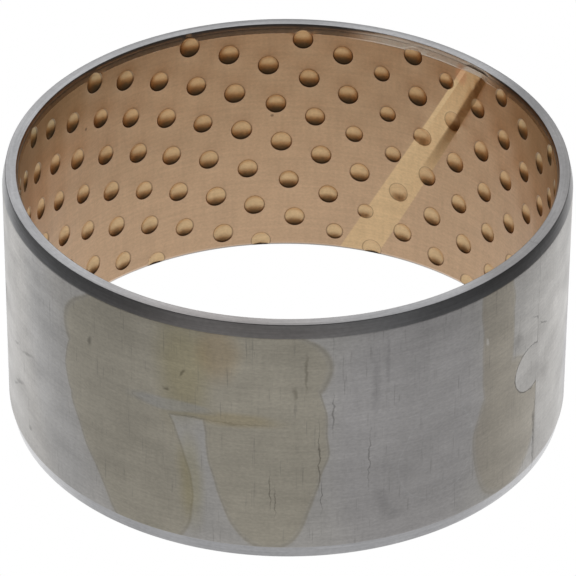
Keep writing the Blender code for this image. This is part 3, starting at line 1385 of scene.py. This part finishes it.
@dataclass
class SteelBacking:
    """Rolled steel strip with its pressed inside, turned ends and chamfers, and ground outside."""

    sizes: BushingSizes
    strip: PressedStrip
    ground: GroundSteel = GroundSteel()
    turned: TurnedSteel = TurnedSteel()
    edge_radius: float = 0.12
    columns: int = 360
    sharp_angle: float = math.radians(20)

    def profile(self) -> list[tuple[float, float, SteelFace]]:
        """Section of one end, from the lining out to the ground wall.

        Returns:
            Height above the bore, distance in from the end face, and finish, for each step.
        """
        sizes = self.sizes
        soft = self.edge_radius
        slope = sizes.outer_chamfer_depth / sizes.outer_chamfer_length
        corner = sizes.wall - sizes.outer_chamfer_depth
        return [
            (sizes.inner_chamfer_depth - 0.3 * soft, 0.85 * soft, SteelFace.TURNED),
            (sizes.inner_chamfer_depth + 0.1 * soft, 0.25 * soft, SteelFace.TURNED),
            (sizes.inner_chamfer_depth + 0.7 * soft, 0.0, SteelFace.TURNED),
            (corner - soft, 0.0, SteelFace.TURNED),
            (corner - 0.35 * soft, 0.2 * soft, SteelFace.TURNED),
            (corner + slope * soft, soft, SteelFace.TURNED),
            (sizes.wall - slope * soft, sizes.outer_chamfer_length - soft, SteelFace.TURNED),
            (sizes.wall, sizes.outer_chamfer_length + soft, SteelFace.GROUND),
        ]

    def grow_step(
        self, mesh: BMesh, rim: list[BMEdge], step: tuple[float, float, SteelFace]
    ) -> list[BMEdge]:
        """Grow the open rim of the strip by one step of the end profile.

        Args:
            mesh: The flat strip.
            rim: Its open edges.
            step: Height above the bore, distance in from the end face, and finish.

        Returns:
            The new open edges.
        """
        height, inset, finish = step
        corners, rim = grow_rim(mesh, rim)
        low = min(corner.co.y for corner in corners)
        high = max(corner.co.y for corner in corners)
        place = mesh.verts.layers.float_vector["strip"]
        for corner in corners:
            if corner.co.y > high - HAIR:
                corner.co.y = self.sizes.length
            elif corner.co.y < low + HAIR:
                corner.co.y = 0.0
            corner.co.y = min(max(corner.co.y, inset), self.sizes.length - inset)
            corner.co.z = height
            corner[place] = corner.co
            for face in corner.link_faces:
                face.material_index = finish.value
        return rim

    def build(self) -> Object:
        """Build the backing and dress it.

        Returns:
            The finished piece.
        """
        mesh = self.strip.sheet()
        lift = self.sizes.lining + self.sizes.bond_gap
        for corner in mesh.verts:
            corner.co.z += lift
        rim = [edge for edge in mesh.edges if edge.is_boundary]
        for step in self.profile():
            rim = self.grow_step(mesh, rim, step)
        corners = list({corner for edge in rim for corner in edge.verts})
        bmesh.ops.remove_doubles(mesh, verts=corners, dist=HAIR)
        rim = [edge for edge in mesh.edges if edge.is_boundary]
        wall = bmesh.ops.contextual_create(mesh, geom=rim)["faces"]
        wall[0].material_index = SteelFace.GROUND.value
        self.rule_wall(mesh, wall)
        self.sizes.roll(mesh)
        shade_round(mesh, self.sharp_angle)
        finishes = [self.ground.material(), self.turned.material()]
        return link_piece(mesh, "steel_backing_fine", "steel_backing", finishes)

    def rule_wall(self, mesh: BMesh, wall: list[BMFace]) -> None:
        """Cut the flat outer wall into upright columns, so that it rolls up round.

        Args:
            mesh: The flat strip.
            wall: The faces of its outer wall.
        """
        for column in range(1, self.columns):
            x = self.sizes.turn * column / self.columns
            crossed = [
                face
                for face in wall
                if min(corner.co.x for corner in face.verts) < x
                and max(corner.co.x for corner in face.verts) > x
            ]
            wall = cut_faces(mesh, crossed, Vector((x, 0.0, 0.0)), Vector((1.0, 0.0, 0.0)))


# --- Studio -------------------------------------------------------------------------------------


@dataclass(frozen=True)
class Studio:
    """Pale floor, soft surroundings that are dark in front, and the camera."""

    floor_size: float = 6.0
    camera_place: tuple[float, float, float] = (0.00017, -0.7322, 0.5223)
    camera_tilt: float = math.radians(55.73)
    camera_roll: float = 0.0056
    lens: float = 296.7
    ring_radius: float = 0.0492
    inside_level: float = 0.64
    foot_level: float = 0.07
    foot_reach: float = 0.08
    sheet_front: float = 0.53
    sheet_behind: float = 1.14
    side_level: float = 0.05
    front_level: float = 0.2
    screen_level: float = 0.82
    floor_drop: float = 0.0002
    far_clip: float = 20.0
    # Spans of the direction towards the back (-1 to 1), then of the direction upwards.
    sheet_depth: Span = (-0.05, 0.95)
    front_end: Span = (-0.85, -0.5)
    screen_start: Span = (0.3, 0.75)
    sheet_end: Span = (-0.53, -0.38)
    room_end: Span = (-0.1, 0.1)
    screen_foot: Span = (0.1, 0.4)

    def build_floor(self) -> Object:
        """Make the pale sheet that the bushing stands on.

        Returns:
            The sheet, plain white to the eye. Inside the ring it lights the bore; outside it adds
            a little light at the bushing's foot to what the surroundings give from below.
        """
        mesh = bmesh.new()
        bmesh.ops.create_grid(mesh, x_segments=2, y_segments=2, size=self.floor_size / 2)
        floor = link_mesh(mesh, "studio_floor")
        floor.location.z = -self.floor_drop
        material = bpy.data.materials.new("studio_sheet_white")
        material.use_nodes = True
        tree = material.node_tree
        tree.nodes.clear()
        place = add(tree, "ShaderNodeTexCoord").outputs["Object"]
        reach = add(tree, "ShaderNodeVectorMath", {0: place}, operation="LENGTH")
        inside = add(
            tree, "ShaderNodeMath", {0: reach.outputs["Value"], 1: self.ring_radius}, operation="LESS_THAN"
        )
        foot = add(
            tree,
            "ShaderNodeMapRange",
            {
                "Value": reach.outputs["Value"],
                "From Min": self.foot_reach,
                "From Max": self.ring_radius,
                "To Max": self.foot_level,
            },
        )
        white = add(tree, "ShaderNodeEmission", {"Strength": 1.0})
        lit = add(tree, "ShaderNodeEmission", {"Strength": self.inside_level})
        glow = add(tree, "ShaderNodeEmission", {"Strength": foot.outputs[0]})
        clear = add(tree, "ShaderNodeBsdfTransparent")
        outside = add(tree, "ShaderNodeAddShader", {0: glow.outputs[0], 1: clear.outputs[0]})
        around = add(
            tree, "ShaderNodeMixShader", {0: inside.outputs[0], 1: outside.outputs[0], 2: lit.outputs[0]}
        )
        path = add(tree, "ShaderNodeLightPath")
        shown = add(
            tree,
            "ShaderNodeMixShader",
            {0: path.outputs["Is Camera Ray"], 1: around.outputs[0], 2: white.outputs[0]},
        )
        add(tree, "ShaderNodeOutputMaterial", {"Surface": shown.outputs[0]})
        floor.data.materials.append(material)
        return floor

    def build_surroundings(self) -> None:
        """Make the soft light of the room.

        The white sheet lights everything from below, more from behind. A bright screen stands
        behind, and the rest of the room is dark.
        """
        world = bpy.data.worlds.new("studio_surroundings")
        bpy.context.scene.world = world
        world.use_nodes = True
        tree = world.node_tree
        tree.nodes.clear()
        way = add(tree, "ShaderNodeTexCoord").outputs["Generated"]
        axes = add(tree, "ShaderNodeSeparateXYZ", {"Vector": way})
        behind, up = axes.outputs["Y"], axes.outputs["Z"]
        sheet = blend(tree, behind, self.sheet_depth, self.sheet_front, self.sheet_behind)
        room = blend(tree, behind, self.front_end, self.front_level, self.side_level)
        screen = blend(tree, behind, self.screen_start, self.side_level, self.screen_level)
        low_room = blend(tree, up, self.room_end, room, self.side_level)
        upper = blend(tree, up, self.screen_foot, low_room, screen)
        level = blend(tree, up, self.sheet_end, sheet, upper)
        path = add(tree, "ShaderNodeLightPath")
        shown = add(
            tree, "ShaderNodeMix", {0: path.outputs["Is Camera Ray"], 2: level, 3: 1.0}, data_type="FLOAT"
        )
        light = add(tree, "ShaderNodeBackground", {"Strength": shown.outputs[0]})
        light.inputs["Color"].default_value = (1.0, 1.0, 1.0, 1.0)
        add(tree, "ShaderNodeOutputWorld", {"Surface": light.outputs[0]})

    def build_camera(self) -> None:
        """Place the camera above and in front of the bushing."""
        data = bpy.data.cameras.new("studio_camera")
        data.lens = self.lens
        data.clip_end = self.far_clip
        camera = bpy.data.objects.new("studio_camera", data)
        bpy.context.scene.collection.objects.link(camera)
        tilt = Matrix.Rotation(self.camera_tilt, 4, "X")
        roll = Matrix.Rotation(self.camera_roll, 4, "Z")
        camera.matrix_world = Matrix.Translation(self.camera_place) @ tilt @ roll
        bpy.context.scene.camera = camera

    def build(self) -> None:
        """Build the whole studio."""
        self.build_camera()
        self.build_floor()
        self.build_surroundings()
        bpy.context.scene.view_settings.view_transform = "Standard"


def main() -> None:
    """Build the studio and both metal layers of the bushing."""
    logging.basicConfig(level=logging.INFO, format="%(name)s: %(message)s")
    Studio().build()
    sizes = BushingSizes.from_cad("steel_backing")
    strip = PressedStrip(sizes, BallIndents(sizes), OilGroove(sizes), ClinchSeam(sizes))
    BronzeLining(sizes, strip, BoredBronze(sizes)).build()
    SteelBacking(sizes, strip).build()


if __name__ == "__main__":
    main()
